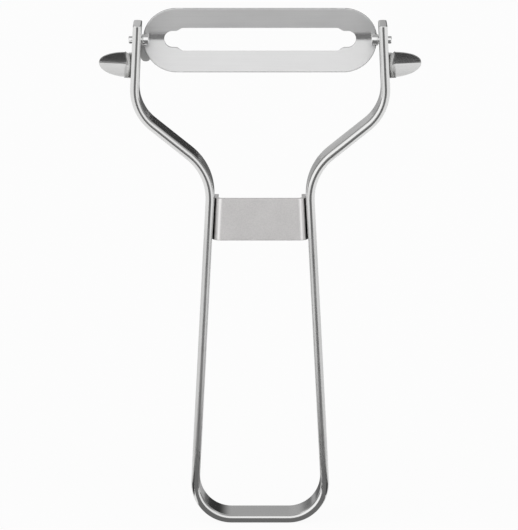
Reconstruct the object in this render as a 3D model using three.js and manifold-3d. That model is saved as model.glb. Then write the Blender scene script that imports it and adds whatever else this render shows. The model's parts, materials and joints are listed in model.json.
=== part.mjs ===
// A Y-shaped vegetable peeler in stainless steel. One bent strip makes the handle and the two arms. The arms carry
// a swivelling double-edged blade on two pins, a channel braces the neck, an eye scoop stands on the outside of
// each arm, and a lug inside the left arm stops the blade's swing.
//
// Millimetres. X runs from left to right, Y from front to back and Z upwards. The origin is under the middle of
// the handle's foot.

import * as THREE from 'three';
import { mergeVertices } from 'three/addons/utils/BufferGeometryUtils.js';
import Module from 'manifold-3d';

const wasm = await Module();
wasm.setup();

const radians = THREE.MathUtils.degToRad;

// Handle strip. Its bends are placed where the straight runs would meet. These places and the bend radii are
// measured at the middle of the strip's thickness.
const STRIP_WIDTH = 10;
const STRIP_THICKNESS = 2;
const STRIP_EDGE_RADIUS = 0.75;
const LEG_HEIGHT = 84.1;
const SHOULDER_RISE = 14.6;
const ARM_LENGTH = 20.3;
const ARM_LEAN = radians(2.7);
const LEG_SPLAY = radians(3);
const WAIST_WIDTH = 26;
const SHOULDER_BEND = 11;
const NECK_BEND = 13;
const FOOT_BEND = 8.6;

// Blade. Its width and the slot's widths are measured along the sheet, across the fold.
const BLADE_LENGTH = 54.6;
const BLADE_WIDTH = 15.8;
const BLADE_THICKNESS = 0.7;
const BLADE_FOLD = radians(18);
const BLADE_FOLD_RADIUS = 1.1;
const SLOT_WIDTH = 5.6;
const SLOT_END_WIDTH = 4;
const SLOT_END_WALL = 4.9;
const SLOT_NECK = 0.7;
const SLOT_STEP = 1.8;
const GRIND_WIDTH = 0.7;
const GRIND_LAND = 0.15;

// Pivot pins
const PIVOT_DROP = 4;
const SHOULDER_DIAMETER = 2.6;
const SHOULDER_LENGTH = 1.6;
const SHOULDER_STANDOUT = 0.25;
const JOURNAL_DIAMETER = 1.75;
const JOURNAL_STANDOUT = 0.9;
const PIN_CHAMFER = 0.2;

// Brace across the neck
const BRACE_DROP = 11;
const BRACE_TALL = 10;
const BRACE_SHEET = 1;
const BRACE_BEND = 1.6;
const BRACE_SETBACK = 1;
const BRACE_DEPTH = 5.5;

// Eye scoops
const SCOOP_DROP = 5.7;
const SCOOP_REACH = 7.6;
const SCOOP_BASE = 5.6;
const SCOOP_FULLNESS = 4.2;
const SCOOP_NOSE = 3;
const SCOOP_SHEET = 0.8;
const SCOOP_FOLD = radians(28);
const SCOOP_FOLD_RADIUS = 0.7;
const SCOOP_SETBACK = 0.6;
const SCOOP_FOOT_TALL = 6;
const SCOOP_FOOT_DROP = 0.9;
const SCOOP_FOOT_DEPTH = 4.2;
const SCOOP_FOOT_FRONT = 0.9;
const SCOOP_FOOT_CORNER = 0.8;

// Blade stop
const STOP_DROP = 0.4;
const STOP_TALL = 5.2;
const STOP_REACH = 2.1;
const STOP_THICKNESS = 1;
const STOP_SETBACK = 0.3;
const STOP_CORNER = 0.3;

// Clearances
const RUNNING_CLEARANCE = 0.2;
const END_PLAY = 0.2;
const WELD_GAP = 0.25;
const SEAT_GAP = 0.12;

// How far a cutter reaches past what it cuts
const CUT_MARGIN = 2;

// Sizes that follow from the ones above
const halfThickness = STRIP_THICKNESS / 2;
const shoulderHeight = LEG_HEIGHT + SHOULDER_RISE;
const armTop = shoulderHeight + ARM_LENGTH;
const pivotHeight = armTop - PIVOT_DROP;
const braceHeight = LEG_HEIGHT - BRACE_DROP;
const armInside = BLADE_LENGTH / 2 + SHOULDER_STANDOUT + END_PLAY;
const foldTan = Math.tan(BLADE_FOLD);
const foldCos = Math.cos(BLADE_FOLD);
const foldFront = (SHOULDER_DIAMETER / 2 + SEAT_GAP) / foldCos;
const slotEndCentre = BLADE_LENGTH / 2 - SLOT_END_WALL - SLOT_END_WIDTH / 2;
const edgeEnd = slotEndCentre - SLOT_NECK - SLOT_STEP;
const edgeHeight = (SLOT_WIDTH / 2) * foldCos;

// Distance of the arm's and the leg's middle line from the handle's middle plane, at a height
function armLine(height) {
  return armInside + halfThickness / Math.cos(ARM_LEAN) + (pivotHeight - height) * Math.tan(ARM_LEAN);
}

function legLine(height) {
  const atBrace = WAIST_WIDTH / 2 - halfThickness / Math.cos(LEG_SPLAY);
  return atBrace + (braceHeight - height) * Math.tan(LEG_SPLAY);
}

// Finishes
const polished = new THREE.MeshStandardMaterial({ color: 0xd2d2d0, roughness: 0.16, metalness: 1 });
const satin = new THREE.MeshStandardMaterial({ color: 0xc6c6c7, roughness: 0.38, metalness: 1 });
const blasted = new THREE.MeshStandardMaterial({ color: 0xc8c5c2, roughness: 0.5, metalness: 1 });

// The three ways an outline is laid out before it is extruded: seen from the front, from the side and from above
const X_AXIS = new THREE.Vector3(1, 0, 0);
const Y_AXIS = new THREE.Vector3(0, 1, 0);
const Z_AXIS = new THREE.Vector3(0, 0, 1);
const FRONT = new THREE.Matrix4().makeBasis(X_AXIS, Z_AXIS, Y_AXIS.clone().negate());
const SIDE = new THREE.Matrix4().makeBasis(Y_AXIS, Z_AXIS, X_AXIS);
const PLAN = new THREE.Matrix4();

// An outline extruded evenly to both sides of its own plane, with its long edges rounded if a radius is given
function prism(outline, depth, layout, edgeRadius = 0) {
  const geometry = new THREE.ExtrudeGeometry(outline, {
    depth: depth - 2 * edgeRadius,
    curveSegments: 6,
    bevelEnabled: edgeRadius > 0,
    bevelThickness: edgeRadius,
    bevelSize: edgeRadius,
    bevelOffset: -edgeRadius,
    bevelSegments: 3,
  });
  return geometry.translate(0, 0, edgeRadius - depth / 2).applyMatrix4(layout);
}

// The outline of a strip or sheet of even thickness that follows straight runs with round bends between them
function bentStrip(corners, radii, thickness) {
  const half = thickness / 2;
  const runs = corners.slice(1).map((corner, i) => corner.clone().sub(corners[i]).normalize());
  const beside = (point, run, offset) => [point.x - offset * run.y, point.y + offset * run.x];
  const bends = radii.map((radius, i) => {
    const arriving = runs[i];
    const leaving = runs[i + 1];
    const turn = Math.sign(arriving.cross(leaving));
    const inwards = leaving.clone().sub(arriving).normalize();
    const halfTurn = arriving.angleTo(leaving) / 2;
    const centre = corners[i + 1].clone().addScaledVector(inwards, radius / Math.cos(halfTurn));
    const start = arriving.angle() - turn * Math.PI / 2;
    const end = leaving.angle() - turn * Math.PI / 2;
    return { radius, turn, centre, start, end };
  });
  const outline = new THREE.Shape();
  outline.moveTo(...beside(corners[0], runs[0], -half));
  outline.lineTo(...beside(corners[0], runs[0], half));
  for (const { radius, turn, centre, start, end } of bends) {
    outline.absarc(centre.x, centre.y, radius - turn * half, start, end, turn < 0);
  }
  outline.lineTo(...beside(corners.at(-1), runs.at(-1), half));
  outline.lineTo(...beside(corners.at(-1), runs.at(-1), -half));
  for (const { radius, turn, centre, start, end } of bends.toReversed()) {
    outline.absarc(centre.x, centre.y, radius + turn * half, end, start, turn > 0);
  }
  outline.closePath();
  return outline;
}

// A sheet folded once into a shallow trough that opens to the front, as an outline seen from the side
function foldedSheet(middle, halfHeight, slope, radius, thickness) {
  const rim = middle - halfHeight * Math.tan(slope);
  const corners = [
    new THREE.Vector2(rim, -halfHeight),
    new THREE.Vector2(middle, 0),
    new THREE.Vector2(rim, halfHeight),
  ];
  return bentStrip(corners, [radius], thickness);
}

// A rectangle with round corners, with one radius for its lower corners and one for its upper ones
function roundedPanel(left, bottom, right, top, lowRadius, highRadius) {
  const quarter = Math.PI / 2;
  const outline = new THREE.Shape();
  outline.moveTo(left, top - highRadius);
  outline.lineTo(left, bottom + lowRadius);
  outline.absarc(left + lowRadius, bottom + lowRadius, lowRadius, 2 * quarter, 3 * quarter, false);
  outline.absarc(right - lowRadius, bottom + lowRadius, lowRadius, 3 * quarter, 4 * quarter, false);
  outline.absarc(right - highRadius, top - highRadius, highRadius, 0, quarter, false);
  outline.absarc(left + highRadius, top - highRadius, highRadius, quarter, 2 * quarter, false);
  outline.closePath();
  return outline;
}

// Closed geometry to a solid that can be joined and cut, and back
function solidOf(geometry) {
  const bare = geometry.clone();
  bare.deleteAttribute('normal');
  bare.deleteAttribute('uv');
  const merged = mergeVertices(bare);
  const vertProperties = new Float32Array(merged.attributes.position.array);
  const triVerts = new Uint32Array(merged.index.array);
  return new wasm.Manifold(new wasm.Mesh({ numProp: 3, vertProperties, triVerts }));
}

function geometryOf(solid) {
  const { vertProperties, triVerts } = solid.getMesh();
  const geometry = new THREE.BufferGeometry();
  geometry.setAttribute('position', new THREE.BufferAttribute(new Float32Array(vertProperties), 3));
  geometry.setIndex(new THREE.BufferAttribute(new Uint32Array(triVerts), 1));
  geometry.computeVertexNormals();
  return geometry;
}

// The same piece for the other hand
function mirrored(geometry) {
  const other = geometry.clone().scale(-1, 1, 1);
  const corners = other.index.array;
  for (let i = 0; i < corners.length; i += 3) {
    [corners[i], corners[i + 1]] = [corners[i + 1], corners[i]];
  }
  other.computeVertexNormals();
  return other;
}

function piece(name, geometry, material) {
  const mesh = new THREE.Mesh(geometry, material);
  mesh.name = name;
  return mesh;
}

// Handle: the strip runs down the right arm, round the foot and up the left arm. Its two ends are cut off level,
// and the pivot holes are drilled through both arms at once.
function handleGeometry() {
  const overTop = armTop + CUT_MARGIN;
  const rightSide = [
    new THREE.Vector2(armLine(overTop), overTop),
    new THREE.Vector2(armLine(shoulderHeight), shoulderHeight),
    new THREE.Vector2(legLine(LEG_HEIGHT), LEG_HEIGHT),
    new THREE.Vector2(legLine(halfThickness), halfThickness),
  ];
  const leftSide = rightSide.toReversed().map(({ x, y }) => new THREE.Vector2(-x, y));
  const radii = [SHOULDER_BEND, NECK_BEND, FOOT_BEND, FOOT_BEND, NECK_BEND, SHOULDER_BEND];
  const outline = bentStrip([...rightSide, ...leftSide], radii, STRIP_THICKNESS);
  const strip = solidOf(prism(outline, STRIP_WIDTH, FRONT, STRIP_EDGE_RADIUS));

  const across = 2 * (armLine(0) + STRIP_THICKNESS);
  const saw = new THREE.BoxGeometry(across, STRIP_WIDTH + CUT_MARGIN, 2 * CUT_MARGIN);
  saw.translate(0, 0, armTop + CUT_MARGIN);
  const holeRadius = JOURNAL_DIAMETER / 2 + RUNNING_CLEARANCE;
  const drill = new THREE.CylinderGeometry(holeRadius, holeRadius, across, 24);
  drill.rotateZ(Math.PI / 2).translate(0, 0, pivotHeight);
  return geometryOf(strip.subtract(solidOf(saw)).subtract(solidOf(drill)));
}

// Brace: a channel bent from sheet. The flanges run back along the legs, so it widens downwards as they do.
function braceGeometry() {
  const insideLegs = (height) => legLine(height) - halfThickness / Math.cos(LEG_SPLAY) - WELD_GAP;
  const halfWidth = insideLegs(braceHeight) - BRACE_SHEET / 2;
  const front = BRACE_SETBACK - STRIP_WIDTH / 2 + BRACE_SHEET / 2;
  const back = front + BRACE_DEPTH;
  const corners = [
    new THREE.Vector2(-halfWidth, back),
    new THREE.Vector2(-halfWidth, front),
    new THREE.Vector2(halfWidth, front),
    new THREE.Vector2(halfWidth, back),
  ];
  const channel = prism(bentStrip(corners, [BRACE_BEND, BRACE_BEND], BRACE_SHEET), BRACE_TALL, PLAN);
  const places = channel.attributes.position;
  for (let i = 0; i < places.count; i += 1) {
    const widening = insideLegs(braceHeight + places.getZ(i)) / insideLegs(braceHeight);
    places.setX(i, places.getX(i) * widening);
  }
  channel.computeVertexNormals();
  return channel;
}

// The blade's slot seen from the front: the cutting edges, a soft step at each end, and a narrower round-ended part
function slotOutline() {
  const endHeight = (SLOT_END_WIDTH / 2) * foldCos;
  const stepEnd = edgeEnd + SLOT_STEP;
  const stepMiddle = edgeEnd + SLOT_STEP / 2;
  const quarter = Math.PI / 2;
  const outline = new THREE.Shape();
  outline.moveTo(-edgeEnd, -edgeHeight);
  outline.lineTo(edgeEnd, -edgeHeight);
  outline.bezierCurveTo(stepMiddle, -edgeHeight, stepMiddle, -endHeight, stepEnd, -endHeight);
  outline.absellipse(slotEndCentre, 0, SLOT_END_WIDTH / 2, endHeight, -quarter, quarter, false);
  outline.lineTo(stepEnd, endHeight);
  outline.bezierCurveTo(stepMiddle, endHeight, stepMiddle, edgeHeight, edgeEnd, edgeHeight);
  outline.lineTo(-edgeEnd, edgeHeight);
  outline.bezierCurveTo(-stepMiddle, edgeHeight, -stepMiddle, endHeight, -stepEnd, endHeight);
  outline.absellipse(-slotEndCentre, 0, SLOT_END_WIDTH / 2, endHeight, quarter, 3 * quarter, false);
  outline.lineTo(-stepEnd, -endHeight);
  outline.bezierCurveTo(-stepMiddle, -endHeight, -stepMiddle, -edgeHeight, -edgeEnd, -edgeHeight);
  outline.closePath();
  return outline;
}

// Blade: the folded sheet, trimmed to a round-ended outline, slotted, and ground on the back along both edges.
// Its own origin is on the pivot axis.
function bladeGeometry() {
  const halfHeight = (BLADE_WIDTH / 2) * foldCos;
  const endCentre = BLADE_LENGTH / 2 - BLADE_WIDTH / 2;
  const quarter = Math.PI / 2;
  const blank = new THREE.Shape();
  blank.moveTo(-endCentre, -halfHeight);
  blank.lineTo(endCentre, -halfHeight);
  blank.absellipse(endCentre, 0, BLADE_WIDTH / 2, halfHeight, -quarter, quarter, false);
  blank.lineTo(-endCentre, halfHeight);
  blank.absellipse(-endCentre, 0, BLADE_WIDTH / 2, halfHeight, quarter, 3 * quarter, false);
  blank.closePath();

  const through = 2 * BLADE_WIDTH;
  const middle = foldFront + BLADE_THICKNESS / 2 / foldCos;
  const section = foldedSheet(middle, halfHeight + CUT_MARGIN, BLADE_FOLD, BLADE_FOLD_RADIUS, BLADE_THICKNESS);
  const sheet = solidOf(prism(section, BLADE_LENGTH + CUT_MARGIN, SIDE));
  let blade = sheet.intersect(solidOf(prism(blank, through, FRONT)));
  blade = blade.subtract(solidOf(prism(slotOutline(), through, FRONT)));

  // Each grinding wedge starts at the edge, where it leaves a thin land at the sheet's front, and runs out on the
  // sheet's back.
  const frontAt = (height) => foldFront - height * foldTan;
  const backAt = (height) => frontAt(height) + BLADE_THICKNESS / foldCos;
  const land = frontAt(edgeHeight) + GRIND_LAND / foldCos;
  const runOut = edgeHeight + GRIND_WIDTH * foldCos;
  const behind = backAt(edgeHeight) + CUT_MARGIN;
  for (const side of [-1, 1]) {
    const wedge = new THREE.Shape([
      new THREE.Vector2(land, side * edgeHeight),
      new THREE.Vector2(backAt(runOut), side * runOut),
      new THREE.Vector2(behind, side * runOut),
      new THREE.Vector2(behind, side * edgeHeight),
    ]);
    blade = blade.subtract(solidOf(prism(wedge, 2 * edgeEnd, SIDE)));
  }
  return geometryOf(blade);
}

// Pivot pin: a shoulder that lies in the blade's fold, then a journal that passes through the arm. It is turned
// about its own axis, which points outwards along X. The end of the blade is at zero.
function pinGeometry() {
  const shoulder = SHOULDER_DIAMETER / 2;
  const journal = JOURNAL_DIAMETER / 2;
  const start = SHOULDER_STANDOUT - SHOULDER_LENGTH;
  const armOutside = SHOULDER_STANDOUT + END_PLAY + STRIP_THICKNESS / Math.cos(ARM_LEAN);
  const end = armOutside + JOURNAL_STANDOUT;
  const profile = [
    new THREE.Vector2(0, start),
    new THREE.Vector2(shoulder - PIN_CHAMFER, start),
    new THREE.Vector2(shoulder, start + PIN_CHAMFER),
    new THREE.Vector2(shoulder, SHOULDER_STANDOUT),
    new THREE.Vector2(journal, SHOULDER_STANDOUT),
    new THREE.Vector2(journal, end - PIN_CHAMFER),
    new THREE.Vector2(journal - PIN_CHAMFER, end),
    new THREE.Vector2(0, end),
  ];
  return new THREE.LatheGeometry(profile, 24).rotateZ(-Math.PI / 2);
}

// Eye scoop: a folded gouge trimmed to a leaf shape, standing on a foot that lies along the arm. Its own origin is
// in the middle of the arm's thickness, with X pointing straight out of the arm.
function scoopGeometry() {
  const base = halfThickness + WELD_GAP;
  const tip = halfThickness + SCOOP_REACH;
  const halfBase = SCOOP_BASE / 2;
  const halfNose = SCOOP_FULLNESS / 2;
  const halfBelly = (halfBase + halfNose) / 2;
  const leaf = new THREE.Shape();
  leaf.moveTo(base, halfBase);
  leaf.lineTo(base, -halfBase);
  leaf.bezierCurveTo(tip - SCOOP_NOSE, -halfBelly, tip, -halfNose, tip, 0);
  leaf.bezierCurveTo(tip, halfNose, tip - SCOOP_NOSE, halfBelly, base, halfBase);

  const section = foldedSheet(SCOOP_SETBACK, halfBase + CUT_MARGIN, SCOOP_FOLD, SCOOP_FOLD_RADIUS, SCOOP_SHEET);
  const trough = solidOf(prism(section, 2 * tip + CUT_MARGIN, SIDE));
  const gouge = trough.intersect(solidOf(prism(leaf, 4 * SCOOP_BASE, FRONT)));

  const footBottom = -halfBase - SCOOP_FOOT_DROP;
  const footTop = footBottom + SCOOP_FOOT_TALL;
  const footBack = SCOOP_FOOT_DEPTH - SCOOP_FOOT_FRONT;
  const panel = roundedPanel(
    -SCOOP_FOOT_FRONT, footBottom, footBack, footTop, SCOOP_FOOT_CORNER, SCOOP_FOOT_CORNER,
  );
  const foot = prism(panel, SCOOP_SHEET, SIDE).translate(base + SCOOP_SHEET / 2, 0, 0);
  return geometryOf(gouge.add(solidOf(foot)));
}

// Blade stop: a small round-ended lug, welded by its edge to the inside of the left arm near the back. Its own
// origin is in the middle of the arm's thickness at the top of the lug, with X pointing straight into the gap.
function stopGeometry() {
  const seat = halfThickness + WELD_GAP;
  const lug = roundedPanel(seat, -STOP_TALL, seat + STOP_REACH, 0, STOP_REACH / 2, STOP_CORNER);
  const middle = (STRIP_WIDTH - STOP_THICKNESS) / 2 - STOP_SETBACK;
  return prism(lug, STOP_THICKNESS, FRONT).translate(0, middle, 0);
}

// A frame of reference on an arm at a height, turned to the arm's lean
function onArm(side, height) {
  const group = new THREE.Group();
  group.position.set(side * armLine(height), 0, height);
  group.rotation.y = -side * ARM_LEAN;
  return group;
}

const peeler = new THREE.Group();
peeler.add(piece('handle_frame', handleGeometry(), polished));

const brace = piece('brace_bracket', braceGeometry(), blasted);
brace.position.z = braceHeight;
peeler.add(brace);

const scoop = scoopGeometry();
const rightScoop = onArm(1, pivotHeight - SCOOP_DROP);
rightScoop.add(piece('right_eye_scoop', scoop, polished));
const leftScoop = onArm(-1, pivotHeight - SCOOP_DROP);
leftScoop.add(piece('left_eye_scoop', mirrored(scoop), polished));
peeler.add(rightScoop, leftScoop);

const stop = onArm(-1, pivotHeight - STOP_DROP);
stop.add(piece('blade_stop', stopGeometry(), satin));
peeler.add(stop);

const swivel = new THREE.Group();
swivel.position.z = pivotHeight;
swivel.add(piece('blade', bladeGeometry(), satin));
const rightPin = piece('right_pivot_pin', pinGeometry(), polished);
rightPin.position.x = BLADE_LENGTH / 2;
const leftPin = piece('left_pivot_pin', pinGeometry(), polished);
leftPin.position.x = -BLADE_LENGTH / 2;
leftPin.rotation.y = Math.PI;
swivel.add(rightPin, leftPin);
peeler.add(swivel);

export default peeler;
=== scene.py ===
# %% [markdown]
# # A Y-shaped peeler in stainless steel
# The handle of such a peeler is one flat strip of steel, bent to shape. A folded blade swings between its arms on two
# pins, a channel braces the neck, and an eye scoop stands on each arm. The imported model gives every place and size.
# This lesson makes each piece again in the way a workshop would form it, with rounder edges, and then gives it a steel
# finish of its own.

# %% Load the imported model
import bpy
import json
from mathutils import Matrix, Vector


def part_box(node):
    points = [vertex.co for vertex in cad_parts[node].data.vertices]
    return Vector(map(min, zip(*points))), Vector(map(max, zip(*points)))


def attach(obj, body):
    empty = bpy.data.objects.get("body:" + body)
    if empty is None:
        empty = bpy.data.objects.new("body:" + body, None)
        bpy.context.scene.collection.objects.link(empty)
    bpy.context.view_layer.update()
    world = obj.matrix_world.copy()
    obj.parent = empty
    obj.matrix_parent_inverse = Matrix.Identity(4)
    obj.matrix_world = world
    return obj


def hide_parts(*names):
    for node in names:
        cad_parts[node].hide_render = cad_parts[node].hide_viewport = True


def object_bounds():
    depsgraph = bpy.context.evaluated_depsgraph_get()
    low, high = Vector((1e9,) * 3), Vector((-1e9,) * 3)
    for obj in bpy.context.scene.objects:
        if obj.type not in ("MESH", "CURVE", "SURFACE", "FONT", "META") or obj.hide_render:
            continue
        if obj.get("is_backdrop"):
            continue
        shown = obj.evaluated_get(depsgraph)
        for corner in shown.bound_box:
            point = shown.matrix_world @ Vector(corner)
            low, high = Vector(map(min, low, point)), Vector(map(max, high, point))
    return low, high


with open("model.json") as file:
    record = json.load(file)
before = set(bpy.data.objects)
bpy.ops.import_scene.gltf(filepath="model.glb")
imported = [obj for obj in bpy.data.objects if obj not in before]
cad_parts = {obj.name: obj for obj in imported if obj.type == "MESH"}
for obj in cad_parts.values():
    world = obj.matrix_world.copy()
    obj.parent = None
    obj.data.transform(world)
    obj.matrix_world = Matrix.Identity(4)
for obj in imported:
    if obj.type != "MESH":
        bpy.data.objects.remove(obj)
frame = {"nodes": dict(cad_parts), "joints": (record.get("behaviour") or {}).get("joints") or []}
cad_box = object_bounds()
print("nodes:", list(frame["nodes"]))

# %% Tools and units
import json
from math import atan2, cos, degrees, hypot, pi, radians, sin, tan

import bmesh
import bpy
from mathutils import Matrix, Vector

MM, MICRON = 1e-3, 1e-6
scene = bpy.context.scene
pivot = Vector(frame["joints"][0]["pos_m"])


def in_mm(point):
    return [round(value / MM, 2) for value in point]


print("packed box:", in_mm(cad_box[0]), "to", in_mm(cad_box[1]), "mm")
print(frame["joints"][0]["name"], "turns at", in_mm(pivot), "mm")

# %% [markdown]
# ## From a mesh to a piece
# A bmesh is a mesh on the workbench: operators push, bend and bevel it, and it becomes an object at the end. One helper
# does that last step for every piece. It merges doubled points, turns the faces outwards, lets the piece ride on its
# body and hides the node of the imported model that it stands for. Weighted normals then keep flat faces flat beside
# their rounded edges, which matters on steel because a mirror shows every dent.

# %% Hand a finished mesh over
DOUBLED, SHARP = 0.002 * MM, radians(40)


def make_piece(bm, name, body, node, sharp=SHARP):
    bmesh.ops.remove_doubles(bm, verts=bm.verts, dist=DOUBLED)
    bmesh.ops.recalc_face_normals(bm, faces=bm.faces)
    mesh = bpy.data.meshes.new(name)
    bm.to_mesh(mesh)
    bm.free()
    mesh.shade_smooth()
    mesh.set_sharp_from_angle(angle=sharp)
    piece = bpy.data.objects.new(name, mesh)
    scene.collection.objects.link(piece)
    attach(piece, body)
    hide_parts(node)
    return piece


def even_shading(piece):
    piece.modifiers.new("even shading", "WEIGHTED_NORMAL").keep_sharp = True


# %% Measure a piece
def report(piece):
    finished = piece.evaluated_get(bpy.context.evaluated_depsgraph_get())
    shape = finished.to_mesh()
    shape.calc_loop_triangles()
    low = [min(vert.co[i] for vert in shape.vertices) for i in range(3)]
    high = [max(vert.co[i] for vert in shape.vertices) for i in range(3)]
    check = bmesh.new()
    check.from_mesh(shape)
    open_edges = sum(len(edge.link_faces) != 2 for edge in check.edges)
    check.free()
    print(piece.name, len(shape.loop_triangles), "triangles,", open_edges, "open edges,", in_mm(low), "to",
          in_mm(high), "mm")
    finished.to_mesh_clear()


# %% Pick parts of a mesh and draw them out
def faces_in(parts):
    return [part for part in parts if isinstance(part, bmesh.types.BMFace)]


def verts_in(parts):
    return [part for part in parts if isinstance(part, bmesh.types.BMVert)]


def corners(faces):
    return list({vert for face in faces for vert in face.verts})


def rim(faces):
    return list({edge for face in faces for edge in face.edges})


def draw_out(bm, faces, way):
    """Push faces forward and leave walls behind them; gives back the faces at the new end."""
    end = faces_in(bmesh.ops.extrude_face_region(bm, geom=faces + rim(faces) + corners(faces))["geom"])
    bmesh.ops.translate(bm, verts=corners(end), vec=way)
    return end


# %% [markdown]
# ## The bending bench
# A maker feeds strip over a bench and bends it round a former, one bend after another. The helper does the same: it
# draws the strip's section, extrudes it for each straight run and spins it round the former's axis for each bend. A
# curve with a bevel could give such a strip too, but spinning makes every bend a true arc and lets each point keep a
# note of its distance along the strip, so that polishing lines can follow the bends later.

# %% Draw the section
EDGE_STEPS = 8


def strip_section(width, thickness, edge):
    bm = bmesh.new()
    note = bm.verts.layers.float_vector.new("grain")
    bmesh.ops.create_grid(bm, x_segments=1, y_segments=1, size=0.5)
    bmesh.ops.scale(bm, verts=bm.verts, vec=(thickness, width, 1))
    bmesh.ops.bevel(bm, geom=bm.verts[:], affect="VERTICES", offset=edge, segments=EDGE_STEPS, profile=0.5,
                    material=-1)
    for vert in bm.verts:
        vert[note] = (0, vert.co.y, vert.co.x)
    return bm, note


# %% Feed it and bend it
BEND_STEP, FEWEST_STEPS = radians(3), 6


def note_distance(end, note, gone):
    for vert in corners(end):
        vert[note] = (gone, *vert[note][1:])


def bend_strip(width, thickness, edge, start, heading, runs):
    """A strip from a start point on the bench; each run is a length, a turn to the left and a former's radius."""
    bm, note = strip_section(width, thickness, edge)
    ahead = Vector((cos(heading), sin(heading), 0))
    left = Vector((-ahead.y, ahead.x, 0))
    turn_in = Matrix((left, (0, 0, 1), ahead)).transposed().to_4x4()
    bmesh.ops.transform(bm, verts=bm.verts, matrix=Matrix.Translation(start) @ turn_in)

    place, gone, end = Vector(start), 0.0, bm.faces[:]
    for length, turn, radius in runs:
        end = draw_out(bm, end, ahead * length)
        place, gone = place + ahead * length, gone + length
        note_distance(end, note, gone)
        if not turn:
            continue
        centre = place + left * (radius if turn > 0 else -radius)
        steps = max(FEWEST_STEPS, round(abs(turn) / BEND_STEP))
        for _ in range(steps):
            spun = bmesh.ops.spin(bm, geom=end + rim(end) + corners(end), cent=centre, axis=(0, 0, 1),
                                  angle=turn / steps, steps=1)
            end = faces_in(spun["geom_last"])
            gone += abs(turn) / steps * radius
            note_distance(end, note, gone)
        swing = Matrix.Rotation(turn, 3, "Z")
        place = centre + swing @ (place - centre)
        ahead, left = swing @ ahead, swing @ left
    return bm


def outline_faces(bm):
    """The faces with a rounded outline: all others have eight corners at most."""
    return [face for face in bm.faces if len(face.verts) > 8]


def soften_ends(bm, offset, segments=3):
    bm.normal_update()
    bmesh.ops.bevel(bm, geom=rim(outline_faces(bm)), affect="EDGES", offset=offset, segments=segments, profile=0.5,
                    material=-1)


# %% [markdown]
# ## The handle
# One strip, 10 mm wide and 2 mm thick with well rounded edges, makes both arms, the sloping shoulders, the neck, the
# legs and the foot. It could be swept along a drawn path, but a path needs its bends worked out first. On the bench
# only the corners of the centre line are needed: the length of each feed follows from them and from the radius of the
# former at each corner. The bench lies flat, so the bent strip is stood up afterwards.

# %% Mark the corners of the centre line
STRIP_WIDTH, STRIP_THICKNESS, STRIP_EDGE = 10 * MM, 2 * MM, 0.88 * MM
ARM_LEAN, LEG_SPLAY = radians(2.7), radians(3)
SHOULDER_HEIGHT, NECK_HEIGHT, WAIST_HEIGHT = 98.7 * MM, 84.1 * MM, 73.1 * MM
ARM_INSIDE, WAIST_OUTSIDE = 27.75 * MM, 13 * MM
foot_low, arm_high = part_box("handle_frame")


def arm_line(height):
    return ARM_INSIDE + STRIP_THICKNESS / 2 / cos(ARM_LEAN) + (pivot.z - height) * tan(ARM_LEAN)


def leg_line(height):
    return WAIST_OUTSIDE - STRIP_THICKNESS / 2 / cos(LEG_SPLAY) + (WAIST_HEIGHT - height) * tan(LEG_SPLAY)


foot_height = foot_low.z + STRIP_THICKNESS / 2
right_side = [Vector((arm_line(arm_high.z), arm_high.z)), Vector((arm_line(SHOULDER_HEIGHT), SHOULDER_HEIGHT)),
              Vector((leg_line(NECK_HEIGHT), NECK_HEIGHT)), Vector((leg_line(foot_height), foot_height))]
chain = right_side + [Vector((-point.x, point.y)) for point in reversed(right_side)]
print("corners on the right:", [in_mm(point) for point in right_side], "mm")

# %% Work out the feeds
SHOULDER_FORMER, NECK_FORMER, FOOT_FORMER = 11 * MM, 13 * MM, 8.6 * MM
formers = [SHOULDER_FORMER, NECK_FORMER, FOOT_FORMER, FOOT_FORMER, NECK_FORMER, SHOULDER_FORMER]


def feeds_along(chain, formers):
    legs = [b - a for a, b in zip(chain, chain[1:])]
    turns = [-legs[i].angle_signed(legs[i + 1]) for i in range(len(legs) - 1)]
    setbacks = [0] + [radius * tan(abs(turn) / 2) for turn, radius in zip(turns, formers)] + [0]
    return [(leg.length - setbacks[i] - setbacks[i + 1], turn, radius)
            for i, (leg, turn, radius) in enumerate(zip(legs, turns + [0], formers + [0]))]


feeds = feeds_along(chain, formers)
print("feeds:", in_mm(length for length, turn, radius in feeds), "mm")
print("turns:", [round(degrees(turn), 1) for length, turn, radius in feeds], "degrees")

# %% Bend the handle and stand it up
STRIP_END, STRIP_END_STEPS = 0.28 * MM, 4
UPRIGHT = Matrix.Rotation(pi / 2, 3, "X")
first = chain[1] - chain[0]
handle = bend_strip(STRIP_WIDTH, STRIP_THICKNESS, STRIP_EDGE, chain[0].to_3d(), atan2(first.y, first.x), feeds)
soften_ends(handle, STRIP_END, STRIP_END_STEPS)
bmesh.ops.rotate(handle, verts=handle.verts, cent=(0, 0, 0), matrix=UPRIGHT)
bent_strip = make_piece(handle, "bent_strip", "frame", "handle_frame")
report(bent_strip)

# %% [markdown]
# ## The pivot holes
# Each arm has a round hole for its pin. Holes could be left open in the mesh from the start, but the strip's faces run
# along its length and a hole cuts across them. A Boolean is the drill here: one long rod on the hinge's axis passes
# through both arms at once, so both holes are in line although the arms lean.

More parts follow.
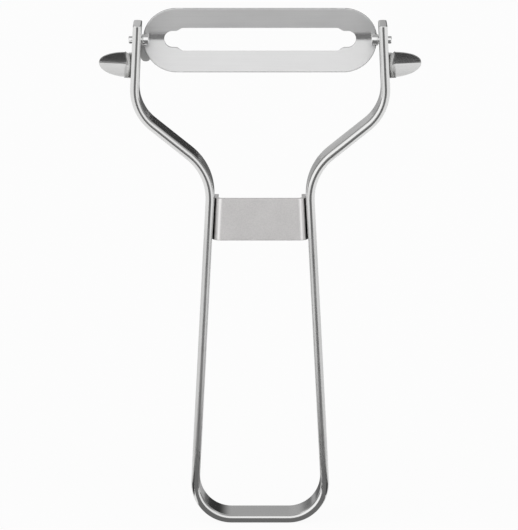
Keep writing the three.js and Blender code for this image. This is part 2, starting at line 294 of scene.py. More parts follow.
# %% Drill both arms
HOLE, DRILL_LENGTH, DRILL_SIDES = 2.15 * MM, 80 * MM, 48
rod = bmesh.new()
bmesh.ops.create_cone(rod, cap_ends=True, segments=DRILL_SIDES, radius1=HOLE / 2, radius2=HOLE / 2,
                      depth=DRILL_LENGTH, matrix=Matrix.Translation(pivot) @ Matrix.Rotation(pi / 2, 4, "Y"))
drill_mesh = bpy.data.meshes.new("drill")
rod.to_mesh(drill_mesh)
rod.free()
drill = bpy.data.objects.new("drill", drill_mesh)
scene.collection.objects.link(drill)
cut = bent_strip.modifiers.new("pivot holes", "BOOLEAN")
cut.operation, cut.solver, cut.object = "DIFFERENCE", "EXACT", drill
drilled = bpy.data.meshes.new_from_object(bent_strip.evaluated_get(bpy.context.evaluated_depsgraph_get()))
bent_strip.modifiers.clear()
bent_strip.data = drilled
drilled.set_sharp_from_angle(angle=SHARP)
bpy.data.objects.remove(drill)
even_shading(bent_strip)
report(bent_strip)

# %% [markdown]
# ## The brace
# A channel of 1 mm sheet holds the legs together at the neck. A box with its back taken out would do, but real sheet
# has round bends and one thickness. So it is bent on the same bench, this time in plan: along one leg, round the
# corner, across the front and back along the other leg. The legs spread downwards, and the channel is spread with them.

# %% Bend and spread the brace
SHEET, BRACE_TALL, BRACE_BEND, BRACE_EDGE = 1 * MM, 10 * MM, 1.6 * MM, 0.14 * MM
BRACE_GAP = 0.02 * MM
brace_low, brace_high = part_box("brace_bracket")
brace_height = (brace_low.z + brace_high.z) / 2
flange = leg_line(brace_height) - STRIP_THICKNESS / 2 / cos(LEG_SPLAY) - SHEET / 2 - BRACE_GAP
front = brace_low.y + SHEET / 2
back_run = brace_high.y - front - BRACE_BEND
brace = bend_strip(BRACE_TALL, SHEET, BRACE_EDGE, (-flange, brace_high.y, 0), -pi / 2,
                   [(back_run, pi / 2, BRACE_BEND), (2 * (flange - BRACE_BEND), pi / 2, BRACE_BEND),
                    (back_run, 0, 0)])
soften_ends(brace, BRACE_EDGE)
for vert in brace.verts:
    vert.co.x *= 1 - vert.co.z * tan(LEG_SPLAY) / flange
bmesh.ops.translate(brace, verts=brace.verts, vec=(0, 0, brace_height))
neck_brace = make_piece(brace, "neck_brace", "frame", "brace_bracket")
even_shading(neck_brace)
report(neck_brace)

# %% [markdown]
# ## The blade
# The blade is a thin sheet with round ends, a slot along its middle and a shallow fold from end to end, and the slot's
# long sides are the cutting edges. A workshop cuts the flat blank, folds it and grinds it, and so does this step. Each
# outline starts as a circle whose halves are pulled apart, and the sheet between them is bridged. That way the round
# ends are true arcs, and the fold needs only a few scored lines.

# %% Cut the blank
BLADE_LENGTH, BLADE_WIDTH, BLADE_SHEET = 54.6 * MM, 15.8 * MM, 0.7 * MM
SLOT_END, SLOT_END_CENTRE, ROUND_SIDES = 4 * MM, 20.4 * MM, 128


def pulled_circle(bm, diameter, half_reach):
    verts = bmesh.ops.create_circle(bm, cap_ends=False, segments=ROUND_SIDES, radius=diameter / 2)["verts"]
    bmesh.ops.rotate(bm, verts=verts, cent=(0, 0, 0), matrix=Matrix.Rotation(pi / ROUND_SIDES, 3, "Z"))
    for side in (-1, 1):
        half = [vert for vert in verts if vert.co.x * side > 0]
        bmesh.ops.translate(bm, verts=half, vec=(side * half_reach, 0, 0))
    return list({edge for vert in verts for edge in vert.link_edges})


sheet = bmesh.new()
outer_end = (BLADE_LENGTH - BLADE_WIDTH) / 2
outline = pulled_circle(sheet, BLADE_WIDTH, outer_end)
slot = pulled_circle(sheet, SLOT_END, SLOT_END_CENTRE)
long_sides = [edge for edge in slot if edge.calc_length() > SLOT_END_CENTRE]
bmesh.ops.bridge_loops(sheet, edges=outline + slot)
print("blank:", len(sheet.faces), "faces,", len(long_sides), "long sides in the slot")

# %% Widen the slot between its round ends
SLOT_WIDE, EDGE_END, STEP_END, STEP_CUTS = 5.6 * MM, 17.9 * MM, 19.7 * MM, 8


def eased(part):
    """A soft start and a soft stop between 0 and 1."""
    return part * part * (3 - 2 * part)


def share(value, start, end):
    """How far a value has come from start to end, from 0 to 1."""
    return min(max((value - start) / (end - start), 0), 1)


stations = verts_in(bmesh.ops.subdivide_edges(sheet, edges=long_sides, cuts=2 * STEP_CUTS)["geom_inner"])
for side in (-1, 1):
    row = sorted((vert for vert in stations if vert.co.y * side > 0), key=lambda vert: vert.co.x)
    for i in range(STEP_CUTS):
        part = i / (STEP_CUTS - 1)
        x = STEP_END + (EDGE_END - STEP_END) * part
        half = (SLOT_END + (SLOT_WIDE - SLOT_END) * eased(part)) / 2
        row[i].co, row[-1 - i].co = (-x, side * half, 0), (x, side * half, 0)
print("slot:", round(SLOT_WIDE / MM, 2), "mm wide on", len(stations), "points")

# %% Score the lines for the fold, the steps and the grinding
BLADE_FOLD, FOLD_RADIUS, FOLD_LINES, GRIND = radians(18), 4 * MM, 4, 0.7 * MM
SCORE_NEAR, SCORE_MERGE = 0.001 * MM, 0.06 * MM
half_fold = FOLD_RADIUS * BLADE_FOLD


def score(bm, along, at):
    bmesh.ops.bisect_plane(bm, geom=bm.verts[:] + bm.edges[:] + bm.faces[:], dist=SCORE_NEAR,
                           plane_co=Vector(along) * at, plane_no=along)


for side in (-1, 1):
    score(sheet, (0, 1, 0), side * (SLOT_WIDE / 2 + GRIND))
    for step in range(STEP_CUTS):
        score(sheet, (1, 0, 0), side * (STEP_END + (EDGE_END - STEP_END) * step / (STEP_CUTS - 1)))
for line in range(-FOLD_LINES, FOLD_LINES + 1):
    score(sheet, (0, 1, 0), half_fold * line / FOLD_LINES)
bmesh.ops.remove_doubles(sheet, verts=sheet.verts, dist=SCORE_MERGE)
print("scored blank:", len(sheet.faces), "faces")

# %% [markdown]
# The outer rim is rounded later. A point closer to the rim than that round would be pushed across its neighbours, so
# the few points that lie too near are welded to the rim now.

# %% Clear a margin along the rim
RIM_NEAR, RIM_MARGIN = 0.016 * MM, 0.45 * MM


def from_rim(vert):
    return BLADE_WIDTH / 2 - hypot(max(abs(vert.co.x) - outer_end, 0), vert.co.y)


rim_verts = [vert for vert in sheet.verts if from_rim(vert) < RIM_NEAR]
too_near = [vert for vert in sheet.verts if RIM_NEAR <= from_rim(vert) < RIM_MARGIN]
bmesh.ops.weld_verts(sheet, targetmap={
    vert: min(rim_verts, key=lambda other: (other.co - vert.co).length) for vert in too_near})
print(len(too_near), "points welded to the rim,", len(sheet.faces), "faces left")

# %% [markdown]
# The blank is folded about its middle, and both wings come forward. The fold's front lies a little behind the hinge, so
# that the pins' shoulders have room in it. Each point also keeps two notes: whether it is on the rim, and how far it
# will be ground.

# %% Fold the blank
CREST = 1.42 * MM
on_rim = sheet.verts.layers.int.new("rim")
ground = sheet.verts.layers.float.new("ground")
for vert in sheet.verts:
    x, across = vert.co.x, vert.co.y
    vert[on_rim] = from_rim(vert) < RIM_NEAR
    if vert.is_boundary and not vert[on_rim]:
        vert[ground] = eased(share(abs(x), STEP_END, EDGE_END))
    bent = min(abs(across), half_fold) / FOLD_RADIUS
    flat = max(abs(across) - half_fold, 0)
    rise = FOLD_RADIUS * sin(bent) + flat * cos(bent)
    fall = FOLD_RADIUS * (1 - cos(bent)) + flat * sin(bent)
    vert.co = (x, CREST - fall, rise if across > 0 else -rise)
print("folded blank:", in_mm([max(vert.co.z for vert in sheet.verts)]), "mm above its fold")

# %% Give it thickness, grind the edges and round the rim
GRIND_LAND, RIM_ROUND, RIM_STEPS, RIM_TURN = 0.15 * MM, 0.28 * MM, 5, radians(50)
through = BLADE_SHEET / cos(BLADE_FOLD)
for vert in corners(draw_out(sheet, sheet.faces[:], (0, through, 0))):
    vert.co.y -= (through - GRIND_LAND) * vert[ground]
bmesh.ops.recalc_face_normals(sheet, faces=sheet.faces)
rim_edges = [edge for edge in sheet.edges if all(vert[on_rim] for vert in edge.verts)
             and edge.calc_face_angle() > RIM_TURN]
rounds = bmesh.ops.bevel(sheet, geom=rim_edges, affect="EDGES", offset=RIM_ROUND, segments=RIM_STEPS, profile=0.5,
                         material=-1)["faces"]
print(len(rim_edges), "rim edges rounded into", len(rounds), "faces")

# %% Mark the bare cut faces and set the blade on its pivot
SKIN, SPECK, FACING_FRONT, BLADE_SHARP = 0.05 * MM, 0.02 * MM * MM, -0.5, radians(30)


def front_of(height):
    """How far back the front face lies at a height above or below the fold."""
    flat = max(height - FOLD_RADIUS * sin(BLADE_FOLD), 0)
    bent = min(height / FOLD_RADIUS, sin(BLADE_FOLD))
    return CREST - FOLD_RADIUS * (1 - (1 - bent * bent) ** 0.5) - flat * tan(BLADE_FOLD)


# This mark also darkens the cut faces in the finish, as painted shade.
bare_edge_painted_shade = sheet.faces.layers.float.new("cut_edge_painted_shade")
for face in sheet.faces:
    middle = face.calc_center_median()
    inside = SKIN < middle.y - front_of(abs(middle.z)) < through - SKIN
    face[bare_edge_painted_shade] = face in rounds or (inside and face.normal.y > FACING_FRONT and face.calc_area() > SPECK)
bmesh.ops.translate(sheet, verts=sheet.verts, vec=pivot)
folded_blade = make_piece(sheet, "folded_blade", "blade_unit", "blade", sharp=BLADE_SHARP)
even_shading(folded_blade)
report(folded_blade)

# %% [markdown]
# ## The pivot pins
# Each pin is turned from rod: a thick shoulder lies in the blade's fold, and a thinner journal passes through the arm
# and stands out of it a little. Two joined cylinders would overlap inside. Drawing a disc out, drawing its end face in
# and drawing it out again gives one closed solid with a true step, as a lathe does, and then every rim is broken.

# %% Turn the pins
SHOULDER, JOURNAL, SHOULDER_LENGTH = 2.6 * MM, 1.75 * MM, 1.6 * MM
PIN_SIDES, PIN_ROUND, PIN_STEPS, PIN_TURN = 64, 0.2 * MM, 4, radians(60)


def turned_pin(side, node, name):
    low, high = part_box(node)
    inner = min(abs(low.x), abs(high.x))
    length = high.x - low.x
    bm = bmesh.new()
    bmesh.ops.create_circle(bm, cap_ends=True, segments=PIN_SIDES, radius=SHOULDER / 2)
    end = draw_out(bm, bm.faces[:], (0, 0, SHOULDER_LENGTH))
    bmesh.ops.inset_region(bm, faces=end, thickness=(SHOULDER - JOURNAL) / 2, use_even_offset=True)
    draw_out(bm, end, (0, 0, length - SHOULDER_LENGTH))
    bmesh.ops.recalc_face_normals(bm, faces=bm.faces)
    outer_rims = [edge for edge in bm.edges if edge.calc_face_angle_signed() > PIN_TURN]
    bmesh.ops.bevel(bm, geom=outer_rims, affect="EDGES", offset=PIN_ROUND, segments=PIN_STEPS, profile=0.5,
                    material=-1)
    bmesh.ops.rotate(bm, verts=bm.verts, cent=(0, 0, 0), matrix=Matrix.Rotation(side * pi / 2, 3, "Y"))
    bmesh.ops.translate(bm, verts=bm.verts, vec=(side * inner, 0, pivot.z))
    pin = make_piece(bm, name, "blade_unit", node)
    even_shading(pin)
    report(pin)
    return pin


pins = [turned_pin(-1, "left_pivot_pin", "left_pin"), turned_pin(1, "right_pivot_pin", "right_pin")]

# %% [markdown]
# ## The eye scoops
# Each scoop is pressed from one sheet: a foot lies along the arm, the sheet turns outwards through a small bend, and
# the rest is a leaf-shaped gouge with a fold along its middle. Sculpting could give that form, but a press works on a
# flat sheet. So a flat grid is laid on the path: its columns run from the back of the foot to the tip, its rows narrow
# to the tip, and Solidify gives it a thickness that thins out towards the sharp rim.

# %% The leaf's outline
SCOOP_HALF, LEAF_POWER, NOSE_START = 2.8 * MM, 2.0, 0.66


def leaf_half(reach):
    """Half the leaf's height at a reach, from 0 at the root to 1 at the tip."""
    return SCOOP_HALF * (1 - reach ** LEAF_POWER) ** 0.5


def leaf_reach(half):
    """The reach at which the leaf has this half height."""
    return (1 - min(half / SCOOP_HALF, 1) ** 2) ** (1 / LEAF_POWER)


print("leaf:", in_mm([2 * leaf_half(0), 2 * leaf_half(NOSE_START)]), "mm tall at its root and where its nose starts")

# %% Lay a sheet along the foot, the bend and the leaf
SCOOP_BASE, SCOOP_TIP, FOOT_BACK, ROOT_BEND = 1.05 * MM, 8.6 * MM, 3.5 * MM, 0.9 * MM
SCOOP_FOLD, SCOOP_ROUND, SCOOP_CUP = radians(23), 0.05 * MM, 0.045 / MM
PRESS_EASE, FOOT_DROP = 0.8 * MM, 0.7 * MM
THIN_PAST_ROOT, THIN_TO_SIDES, THIN_TO_TIP = (0.35, 0.5), (0.6, 1), (0.85, 1)


def scoop_point(column, row):
    """A point of the sheet's front, for a column from 0 to 1 and a row from -1 to 1."""
    foot, curve = FOOT_BACK - ROOT_BEND, ROOT_BEND * pi / 2
    leaf = SCOOP_TIP - SCOOP_BASE - ROOT_BEND
    path = column * (foot + curve + leaf)
    grown = max(path - foot - curve, 0) / leaf
    z = row * leaf_half(grown * NOSE_START)
    x, y = SCOOP_BASE + ROOT_BEND + grown * leaf * leaf_reach(abs(row) * leaf_half(NOSE_START)), 0
    if path < foot:
        x, y = SCOOP_BASE, FOOT_BACK - path
    elif path < foot + curve:
        angle = (path - foot) / ROOT_BEND
        x, y = SCOOP_BASE + ROOT_BEND * (1 - cos(angle)), ROOT_BEND * (1 - sin(angle))
    pressed = eased(share(path, foot, foot + curve + PRESS_EASE))
    lift = (hypot(z, SCOOP_ROUND) - SCOOP_ROUND) * tan(SCOOP_FOLD) + SCOOP_CUP * z * z
    return Vector((x, y - lift * pressed, z - FOOT_DROP * (1 - pressed)))


def sharpened(column, row):
    """How far the sheet is thinned towards the leaf's rim, from 0 to 1."""
    to_rim = max(share(abs(row), *THIN_TO_SIDES), share(column, *THIN_TO_TIP))
    return eased(share(column, *THIN_PAST_ROOT)) * eased(to_rim)


print("scoop: tip at", in_mm(scoop_point(1, 0)), "mm, top of the root at", in_mm(scoop_point(0.5, 1)), "mm")

# %% Press the scoops
SCOOP_SHEET, SCOOP_RIM, SCOOP_EDGE, SCOOP_DROP = 0.8 * MM, 0.35, 0.1 * MM, 5.7 * MM
COLUMNS, ROWS = 44, 28
SCOOP_NEAR, SCOOP_STEPS, SCOOP_TURN = 0.01 * MM, 3, radians(50)


def pressed_scoop(side, node, name):
    bm = bmesh.new()
    bmesh.ops.create_grid(bm, x_segments=COLUMNS, y_segments=ROWS, size=0.5)
    weight = bm.verts.layers.deform.new()
    for vert in bm.verts:
        column, row = vert.co.x + 0.5, vert.co.y * 2
        vert[weight][0] = 1 - sharpened(column, row)
        vert.co = scoop_point(column, row)
    bmesh.ops.remove_doubles(bm, verts=bm.verts, dist=SCOOP_NEAR)
    place = Matrix.Translation((arm_line(pivot.z - SCOOP_DROP), 0, pivot.z - SCOOP_DROP))
    bmesh.ops.transform(bm, verts=bm.verts, matrix=place @ Matrix.Rotation(-ARM_LEAN, 4, "Y"))
    if side < 0:
        bmesh.ops.scale(bm, verts=bm.verts, vec=(-1, 1, 1))
    scoop = make_piece(bm, name, "frame", node)
    scoop.vertex_groups.new(name="full")
    thick = scoop.modifiers.new("sheet", "SOLIDIFY")
    faces_front = sum(face.normal.y * face.area for face in scoop.data.polygons) < 0
    thick.thickness, thick.offset, thick.use_even_offset = SCOOP_SHEET, -1 if faces_front else 1, True
    thick.vertex_group, thick.thickness_vertex_group = "full", SCOOP_RIM
    soft = scoop.modifiers.new("soft edges", "BEVEL")
    soft.width, soft.segments, soft.limit_method, soft.angle_limit = SCOOP_EDGE, SCOOP_STEPS, "ANGLE", SCOOP_TURN
    even_shading(scoop)
    report(scoop)
    return scoop


scoops = [pressed_scoop(-1, "left_eye_scoop", "left_scoop"), pressed_scoop(1, "right_eye_scoop", "right_scoop")]

# %% [markdown]
# ## The blade stop
# A small lug stands inside the left arm, behind the blade, and stops the blade's swing. It could be a block with a
# bevel, but its lower end is almost a half round and its upper one almost square. So a flat blank's corners are rounded
# first, each pair with its own radius, then the blank is given its thickness and its edges are broken.

# %% Cut the stop
STOP_REACH, STOP_TALL, STOP_THICK, STOP_ROOT = 2.1 * MM, 5.2 * MM, 1 * MM, 0.25 * MM
STOP_LOW_ROUND, STOP_HIGH_ROUND, STOP_ROUND_STEPS = 1.1 * MM, 0.3 * MM, 10
STOP_EDGE, STOP_EDGE_STEPS, CORNER_NEAR = 0.15 * MM, 3, 0.01 * MM
stop_low, stop_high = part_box("blade_stop")
lug = bmesh.new()
bmesh.ops.create_grid(lug, x_segments=1, y_segments=1, size=0.5)
bmesh.ops.scale(lug, verts=lug.verts, vec=(STOP_REACH + STOP_ROOT, STOP_TALL, 1))
for end, radius in ((-1, STOP_LOW_ROUND), (1, STOP_HIGH_ROUND)):
    ends = [vert for vert in lug.verts if abs(vert.co.y - end * STOP_TALL / 2) < CORNER_NEAR]
    bmesh.ops.bevel(lug, geom=ends, affect="VERTICES", offset=radius, segments=STOP_ROUND_STEPS, profile=0.5,
                    material=-1)
draw_out(lug, lug.faces[:], (0, 0, STOP_THICK))
bmesh.ops.recalc_face_normals(lug, faces=lug.faces)
bmesh.ops.bevel(lug, geom=rim(outline_faces(lug)), affect="EDGES", offset=STOP_EDGE, segments=STOP_EDGE_STEPS,
                profile=0.5, material=-1)
bmesh.ops.rotate(lug, verts=lug.verts, cent=(0, 0, 0), matrix=UPRIGHT)
bmesh.ops.rotate(lug, verts=lug.verts, cent=(0, 0, 0), matrix=Matrix.Rotation(ARM_LEAN, 3, "Y"))
middle = (stop_low + stop_high) / 2
bmesh.ops.translate(lug, verts=lug.verts, vec=(middle.x - STOP_ROOT / 2, stop_high.y, middle.z))
stop_lug = make_piece(lug, "stop_lug", "frame", "blade_stop")
even_shading(stop_lug)
report(stop_lug)

# %% [markdown]
# ## Finishes
# All of it is stainless steel, so every material is a metal of nearly the same grey, and what differs is how it was
# rolled, ground, blasted or turned. Image textures could show that, but they need unwrapping and blur close up. Noise
# that is stretched along the direction of the work gives it at any distance. Its sums read best as plain arithmetic,
# so one small class lets a node's output be added and multiplied like a number.

# %% Shader maths with plain operators
class Socket:
    """A value in a node tree that can be added, multiplied and so on like a number."""

    def __init__(self, tree, socket):
        self.tree, self.socket = tree, socket

    def node(self, kind, inputs=None, output=0, **settings):
        """Any node: its type, the values or links of its sockets, which output to give back, and its settings."""
        node = self.tree.nodes.new(kind)
        for name, value in settings.items():
            setattr(node, name, value)
        for name, value in (inputs or {}).items():
            if isinstance(value, Socket):
                self.tree.links.new(value.socket, node.inputs[name])
            else:
                node.inputs[name].default_value = value
        return Socket(self.tree, node.outputs[output])

    def math(self, operation, a, b=0.0):
        return self.node("ShaderNodeMath", {0: a, 1: b}, operation=operation)

    def __add__(self, other): return self.math("ADD", self, other)
    def __radd__(self, other): return self.math("ADD", other, self)
    def __sub__(self, other): return self.math("SUBTRACT", self, other)
    def __rsub__(self, other): return self.math("SUBTRACT", other, self)
    def __mul__(self, other): return self.math("MULTIPLY", self, other)
    def __rmul__(self, other): return self.math("MULTIPLY", other, self)
    def __truediv__(self, other): return self.math("DIVIDE", self, other)
    def __rtruediv__(self, other): return self.math("DIVIDE", other, self)
    def __abs__(self): return self.math("ABSOLUTE", self)


# %% Noise, soft steps and single coordinates
def stretched(place, x, y, z, detail=3.0, roughness=0.6):
    """Noise whose grains are x, y and z millimetres long."""
    lengths = place.node("ShaderNodeVectorMath", {0: place, 1: (1 / (x * MM), 1 / (y * MM), 1 / (z * MM))},
                         operation="MULTIPLY")
    return place.node("ShaderNodeTexNoise", {"Vector": lengths, "Scale": 1.0, "Detail": detail,
                                             "Roughness": roughness})


def smooth_step(value, low, high, out_low=0.0, out_high=1.0):
    """From out_low at low to out_high at high, with a soft start and a soft stop."""
    return value.node("ShaderNodeMapRange", {"Value": value, "From Min": low, "From Max": high, "To Min": out_low,
                                             "To Max": out_high}, interpolation_type="SMOOTHSTEP")


def split(place):
    parts = place.node("ShaderNodeSeparateXYZ", {0: place}).socket.node
    return [Socket(place.tree, output) for output in parts.outputs]


# %% A steel from its pattern
MIX_FROM, MIX_TO, MIX_COLOUR = 6, 7, 2
BLACK = (0, 0, 0, 1)


def steel(name, colour, pieces, pattern):
    """A metal on some pieces; the pattern gives its shade, its roughness, its relief and the relief's depth."""
    material = bpy.data.materials.new(name)
    material.use_nodes = True
    tree = material.node_tree
    shader = tree.nodes["Principled BSDF"]
    shader.inputs["Metallic"].default_value = 1
    place = tree.nodes.new("ShaderNodeTexCoord").outputs["Object"]
    shade, roughness, relief, depth = pattern(Socket(tree, place))
    tint = shade.node("ShaderNodeMix", {"Factor": shade, MIX_FROM: BLACK, MIX_TO: (*colour, 1)}, MIX_COLOUR,
                      data_type="RGBA")
    bump = shade.node("ShaderNodeBump", {"Height": relief, "Strength": 1.0, "Distance": depth})
    for value, socket_name in ((tint, "Base Color"), (roughness, "Roughness"), (bump, "Normal")):
        tree.links.new(value.socket, shader.inputs[socket_name])
    for piece in pieces:
        piece.data.materials.clear()
        piece.data.materials.append(material)
    print(name, len(tree.nodes), "nodes on", [piece.name for piece in pieces])


# %% [markdown]
# ### Polished strip
# The strip is polished along its length, so its fine lines run round every bend. Object coordinates would let them run
# off at the first corner, and so they read the note that the bench left on each point. Where a hand holds the legs, the
# polish is rubbed a little duller, and the legs are also painted a little darker there, which is painted shade.

# %% Polish the strip
def strip_pattern(place):
    along = place.node("ShaderNodeAttribute", output="Vector", attribute_name="grain")
    lines = stretched(along, 30, 0.25, 0.25)
    rubs = stretched(along, 6, 1.2, 1.2, detail=4)
    cloud = stretched(place, 9, 9, 9, detail=2)
    height = split(place)[2]
    held_dull_and_painted_shade = smooth_step(height, 78 * MM, 66 * MM) * smooth_step(height, 9 * MM, 20 * MM)
    # the held mask makes the legs duller through roughness, and darkens their colour by 14 percent as painted shade
    shade = (0.87 + 0.1 * cloud + 0.05 * lines) * (1 - 0.14 * held_dull_and_painted_shade)
    roughness = 0.05 + 0.08 * cloud + 0.08 * rubs + held_dull_and_painted_shade * (0.1 + 0.12 * rubs)
    return shade, roughness, lines, 0.6 * MICRON


steel("polished_strip", (0.76, 0.76, 0.755), [bent_strip], strip_pattern)

# %% [markdown]
# ### Blasted brace
# The brace is blasted with grit, which leaves an even grain with no direction: short noise, deep enough to scatter the
# light. Its bends are rubbed smoother, and they are painted brighter as a painted highlight. The narrow pocket between
# each flange and its leg is painted dark as a painted shade. Both follow the flange's slope, so they are measured from
# the flange and not from the middle.

# %% Blast the brace
def brace_pattern(place):
    grit = stretched(place, 0.28, 0.28, 0.28, detail=4, roughness=0.7)
    cloud = stretched(place, 6, 6, 6, detail=3)
    x, y, z = split(place)
    from_flange = abs(x) + (z - brace_height) * tan(LEG_SPLAY) - flange
    smooth_bend_painted_highlight = smooth_step(from_flange, -1.5 * MM, -0.9 * MM)
    pocket_painted_shade = (smooth_step(from_flange, -0.1 * MM, 0.2 * MM)
              * smooth_step(y, -3.5 * MM, -3.0 * MM) * smooth_step(y, 1.0 * MM, 0.0 * MM)
              * smooth_step(z, brace_high.z - 0.02 * MM, brace_high.z - 0.2 * MM))
    # Painted light: the bends are brightened as a painted highlight, and the pockets beside the legs are darkened as a
    # painted shade.
    shade = (0.71 + 0.1 * cloud + 0.3 * grit) * (1 + 0.16 * smooth_bend_painted_highlight) * (1 - 0.9 * pocket_painted_shade)
    roughness = (0.48 + 0.14 * grit + 0.08 * cloud) * (1 - 0.45 * smooth_bend_painted_highlight)
    return shade, roughness, grit, 12 * MICRON


steel("blasted_sheet", (0.93, 0.915, 0.91), [neck_brace], brace_pattern)

# %% [markdown]
# ### Satin blade
# The blade's wings are ground to a satin along their length, while the fold between them keeps a smoother shine and
# shows as a dark line. The cut rim and the ground edges are bare and smoother, and they are painted darker, a painted
# shade that draws a dark line round the blade. A mask by place would miss them on such a thin sheet, so they were
# marked on the faces themselves, and the finish reads that mark.

# %% Grind the blade's satin
def blade_pattern(place):
    lines = stretched(place, 14, 0.2, 0.2)
    cloud = stretched(place, 12, 5, 5, detail=2)
    height = split(place)[2]
    satin = smooth_step(abs(height - (pivot.z + 0.5 * MM)), 0.3 * MM, 1.6 * MM)
    sheet_face = 1 - place.node("ShaderNodeAttribute", output="Fac", attribute_name="cut_edge_painted_shade")
    # The cut faces are darkened to 0.15 of the steel's shade: a painted shade that draws a dark line along the rim.
    shade = (0.87 + 0.09 * cloud + 0.08 * lines) * (0.15 + 0.85 * sheet_face)
    roughness = 0.2 + satin * sheet_face * (0.34 + 0.08 * cloud + 0.08 * lines)
    return shade, roughness, lines, 1.2 * MICRON


steel("satin_blade", (0.89, 0.89, 0.89), [folded_blade], blade_pattern)

# %% [markdown]
# ### Turned pins
# A lathe leaves fine rings round the pin. Noise that is short along the axis and very long across it gives them, with
# no need to unwrap the round face. The pins are the brightest steel here, because turning leaves a clean surface.

# %% Turn the pins' finish
def pin_pattern(place):
    rings = stretched(place, 0.12, 40, 40)
    cloud = stretched(place, 2, 2, 2)
    shade = 0.9 + 0.06 * cloud + 0.04 * rings
    roughness = 0.06 + 0.06 * rings + 0.04 * cloud
    return shade, roughness, rings, 1.0 * MICRON


steel("turned_pins", (0.86, 0.86, 0.86), pins, pin_pattern)

# %% [markdown]
# ### Cut lug
# The stop is a plain cut part that nobody polishes: a dull grey with a fine grain and no direction. The brace's grain
# could be used again, but a cut face is smoother than a blasted one, so its noise is shallower.

# %% Dull the lug
def lug_pattern(place):
    grit = stretched(place, 0.3, 0.3, 0.3)
    cloud = stretched(place, 2, 2, 2)
    shade = 0.88 + 0.08 * cloud + 0.06 * grit
    roughness = 0.4 + 0.12 * grit + 0.1 * cloud
    return shade, roughness, grit, 3 * MICRON


steel("cut_lug", (0.72, 0.72, 0.715), [stop_lug], lug_pattern)

# %% [markdown]
# ### Pressed scoops
# The press draws the leaf's metal outwards and leaves faint lines along it. The bend at the root is a little rougher,
# and it is painted brighter than the darker leaf as a painted highlight, set off by a mask by the distance from the
# middle.

# %% Draw the scoops
ROOT_FADE = 0.3 * MM
leaf_start = arm_line(pivot.z - SCOOP_DROP) + SCOOP_BASE + ROOT_BEND


def scoop_pattern(place):
    draws = stretched(place, 4, 0.35, 0.35)
    cloud = stretched(place, 1.6, 1.6, 1.6)
    root_rough_painted_highlight = smooth_step(abs(split(place)[0]), leaf_start + ROOT_FADE, leaf_start - ROOT_FADE)
    # The root is painted brighter than the leaf: a painted highlight.
    shade = (0.80 + 0.08 * cloud + 0.14 * draws) * (0.69 + 0.31 * root_rough_painted_highlight)
    roughness = 0.18 + 0.05 * cloud + 0.06 * draws + 0.15 * root_rough_painted_highlight
    return shade, roughness, draws, 1.2 * MICRON


steel("pressed_scoops", (0.93, 0.93, 0.923), scoops, scoop_pattern)

# %% [markdown]
# ## The floor
# The peeler stands on white paper. More light would whiten the paper, but it would burn out the steel as well. So the
# rays that are seen meet paper that is mostly a plain white of strength 1, and the rest of it is real paper, which
# keeps a faint shadow. Mirror rays count as seen, so the steel shows the same white paper.

# %% Lay the paper
FLOOR_HALF, FLOOR_GAP, PAPER_GLOW = 10, 0.02 * MM, 0.93
sheet_of_paper = bmesh.new()
bmesh.ops.create_grid(sheet_of_paper, x_segments=1, y_segments=1, size=FLOOR_HALF)
floor_mesh = bpy.data.meshes.new("floor")
sheet_of_paper.to_mesh(floor_mesh)
sheet_of_paper.free()
floor = bpy.data.objects.new("floor", floor_mesh)
floor.location.z = foot_low.z - FLOOR_GAP
scene.collection.objects.link(floor)
floor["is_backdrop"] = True
print("floor at", in_mm([floor.location.z]), "mm")

# %% Whiten it for the rays that are seen
paper = bpy.data.materials.new("white_paper")
paper.use_nodes = True
tree = paper.node_tree
matt = tree.nodes["Principled BSDF"]
matt.inputs["Base Color"].default_value = (0.985, 0.985, 0.985, 1)
matt.inputs["Roughness"].default_value = 0.9
matt.inputs["Specular IOR Level"].default_value = 0
rays = tree.nodes.new("ShaderNodeLightPath").outputs
seen = sum((Socket(tree, rays[name]) for name in ("Is Glossy Ray", "Is Transmission Ray")),
           Socket(tree, rays["Is Camera Ray"]))
white = seen.node("ShaderNodeEmission", {"Color": (1, 1, 1, 1), "Strength": 1.0})
both = seen.node("ShaderNodeMixShader", {0: PAPER_GLOW * seen, 1: Socket(tree, matt.outputs[0]), 2: white})
tree.links.new(both.socket, tree.nodes["Material Output"].inputs["Surface"])
floor_mesh.materials.append(paper)
print(paper.name, len(tree.nodes), "nodes")

# %% [markdown]
# ## Dark cards on the paper
# Steel on white paper would be pale all over, and its form would be lost. A photographer lays dark cards on the paper,
# just outside the picture, and the steel shows them as dark lines. Cards that every ray meets would come into the
# picture from other sides. So these are thin sheets that only mirror rays meet: a wide one in front, which the blade's
# fold and the strip's front edges show, one in front of each scoop, and two narrow ones behind for the shoulders and
# the foot. Everywhere else the steel shows the paper.

# %% Cut the cards
FRONT_LIGHT, SCOOP_LIGHT, BACK_LEFT_LIGHT, BACK_RIGHT_LIGHT = 0.18, 0.04, 0.4, 0.12
dark_cards = bmesh.new()
light = dark_cards.faces.layers.float.new("light")


def lay_card(level, near, far, reach):
    """A four-sided card: how light it is, both ends of its near and far edges, and where these lie, front to back."""
    verts = bmesh.ops.create_grid(dark_cards, x_segments=1, y_segments=1, size=0.5)["verts"]
    for vert in verts:
        is_far = vert.co.y > 0
        ends = far if is_far else near
        vert.co = (ends[vert.co.x > 0] * MM, reach[is_far] * MM, foot_low.z - FLOOR_GAP / 2)
    verts[0].link_faces[0][light] = level


lay_card(FRONT_LIGHT, (-19, 24), (-450, 735), (-2, -2000))
lay_card(SCOOP_LIGHT, (27, 70), (27, 70), (-2, -85))
lay_card(SCOOP_LIGHT, (-70, -27), (-70, -27), (-2, -85))
lay_card(BACK_LEFT_LIGHT, (-18, 0), (-1800, 0), (8, 6000))
lay_card(BACK_RIGHT_LIGHT, (0, 18), (0, 2000), (8, 6000))
print(len(dark_cards.faces), "cards")

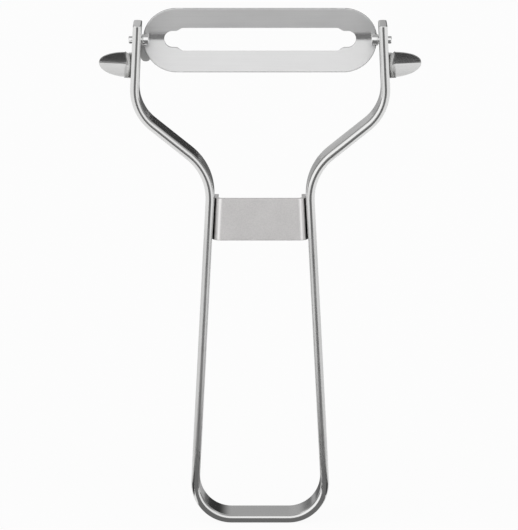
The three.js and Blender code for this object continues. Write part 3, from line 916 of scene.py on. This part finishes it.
# %% Show them to mirror rays only
card_mesh = bpy.data.meshes.new("dark_cards")
dark_cards.to_mesh(card_mesh)
dark_cards.free()
cards = bpy.data.objects.new("dark_cards", card_mesh)
cards.visible_camera = cards.visible_diffuse = cards.visible_shadow = cards.visible_transmission = False
scene.collection.objects.link(cards)
cards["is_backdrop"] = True
felt = bpy.data.materials.new("dark_felt")
felt.use_nodes = True
tree = felt.node_tree
note = tree.nodes.new("ShaderNodeAttribute")
note.attribute_name = "light"
grey = Socket(tree, note.outputs["Color"])
glow = grey.node("ShaderNodeEmission", {"Color": grey, "Strength": 1.0})
tree.links.new(glow.socket, tree.nodes["Material Output"].inputs["Surface"])
card_mesh.materials.append(felt)
print(felt.name, len(tree.nodes), "nodes")

# %% [markdown]
# ## The light dome
# Polished steel has hardly any look of its own: it shows what stands round it. A photographer puts it in a white tent
# and adds dark cards, so that its edges read as dark lines. Lamps and real cards could do that, but they would stand in
# the way of other cameras. A world can hold the tent and its cards as directions: x to the right, y to the back, z up,
# each from -1 to 1. The tent has a strength of about 1, so colours render as they are written.

# %% Hang the tent
world = bpy.data.worlds.new("light_dome")
scene.world = world
world.use_nodes = True
tree = world.node_tree
x, y, z = split(Socket(tree, tree.nodes.new("ShaderNodeTexCoord").outputs["Generated"]))
ahead = y.math("MAXIMUM", 0 - y, 0)
tent = 0.98 - 0.15 * x + 0.2 * ahead - 0.2 * smooth_step(z, 0.7, 0.95)
print("tent:", len(tree.nodes), "nodes")

# %% [markdown]
# In front, just above the horizon, is the maker's dark side. Behind stands a card that the foot and the shoulders
# mirror, darker at the right and low down, with one light panel. A flag at each side meets it, and the one at the right
# has a wing that reaches forward. A grey card hangs overhead. The paper hides what is below the horizon, so nothing is
# set there.

# %% Set the cards in front, behind, at the sides and overhead
maker_side = smooth_step(abs(x), 0.39, 0.21) * smooth_step(z, 0.3, -0.08) * smooth_step(y, 0.4, 0.1)
low_cards = smooth_step(z, 0.8, 0.6)
behind = smooth_step(abs(x), 0.5, 0.38) * smooth_step(y, 0.0, 0.3) * low_cards
back_panel = smooth_step(y, 0.978, 0.9845) * smooth_step(x, 0.06, -0.05)
back_low = smooth_step(z, 0.22, 0.1)
back_right = smooth_step(x, 0.0, 0.19)
back_dark = 0.58 + 0.25 * back_low + (0.38 - 0.25 * back_low) * back_right - 0.47 * back_panel
right_wing = smooth_step(z, 0.1, 0.4) * smooth_step(x, 0.2, 0.5)
flags = smooth_step(abs(x), 0.36, 0.5) * smooth_step(y + 0.35 * right_wing, -0.1, 0.15) * low_cards
overhead = smooth_step(z, 0.6, 0.8) * smooth_step(abs(x), 0.5, 0.38) * smooth_step(y, -0.5, -0.3)
print("cards:", len(tree.nodes), "nodes")

# %% Take each dark part out of the tent's light
for card, darkness in ((overhead, 0.45), (maker_side, 0.92), (behind, back_dark), (flags, 0.7)):
    tent = tent * (1 - darkness * card)
sky = tree.nodes["Background"]
sky.inputs["Color"].default_value = (1, 1, 1, 1)
tree.links.new(tent.socket, sky.inputs["Strength"])
print(world.name, len(tree.nodes), "nodes")

# %% [markdown]
# ## The camera
# The peeler is seen from the front and a little above, through a long lens, so that the strip's depth shows at the foot
# and the shoulders. The place and the lens were found by laying the model's outline over the photograph's. Aiming by a
# direction is simpler than three angles: the camera looks along its own -Z, with Y up.

# %% Aim the camera
EYE, AIM = Vector((-0.26, -1100, 285)) * MM, Vector((-0.26, 0, 61.44)) * MM
LENS, SENSOR, NEAREST, FARTHEST = 323.92, 36, 0.01, 100
look = AIM - EYE
lens = bpy.data.cameras.new("camera")
lens.lens, lens.sensor_width = LENS, SENSOR
lens.clip_start, lens.clip_end = NEAREST, FARTHEST
camera = bpy.data.objects.new("camera", lens)
camera.location = EYE
camera.rotation_euler = look.to_track_quat("-Z", "Y").to_euler()
scene.collection.objects.link(camera)
scene.camera = camera
scene.view_settings.view_transform = "Standard"
print("camera", in_mm([look.length]), "mm away, looking down by", round(degrees(atan2(-look.z, look.y)), 1), "degrees")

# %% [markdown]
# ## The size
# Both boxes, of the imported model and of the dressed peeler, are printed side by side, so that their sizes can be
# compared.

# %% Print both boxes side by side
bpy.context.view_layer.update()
print("packed:", [in_mm(corner) for corner in cad_box], "dressed:", [in_mm(corner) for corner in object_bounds()], "mm")
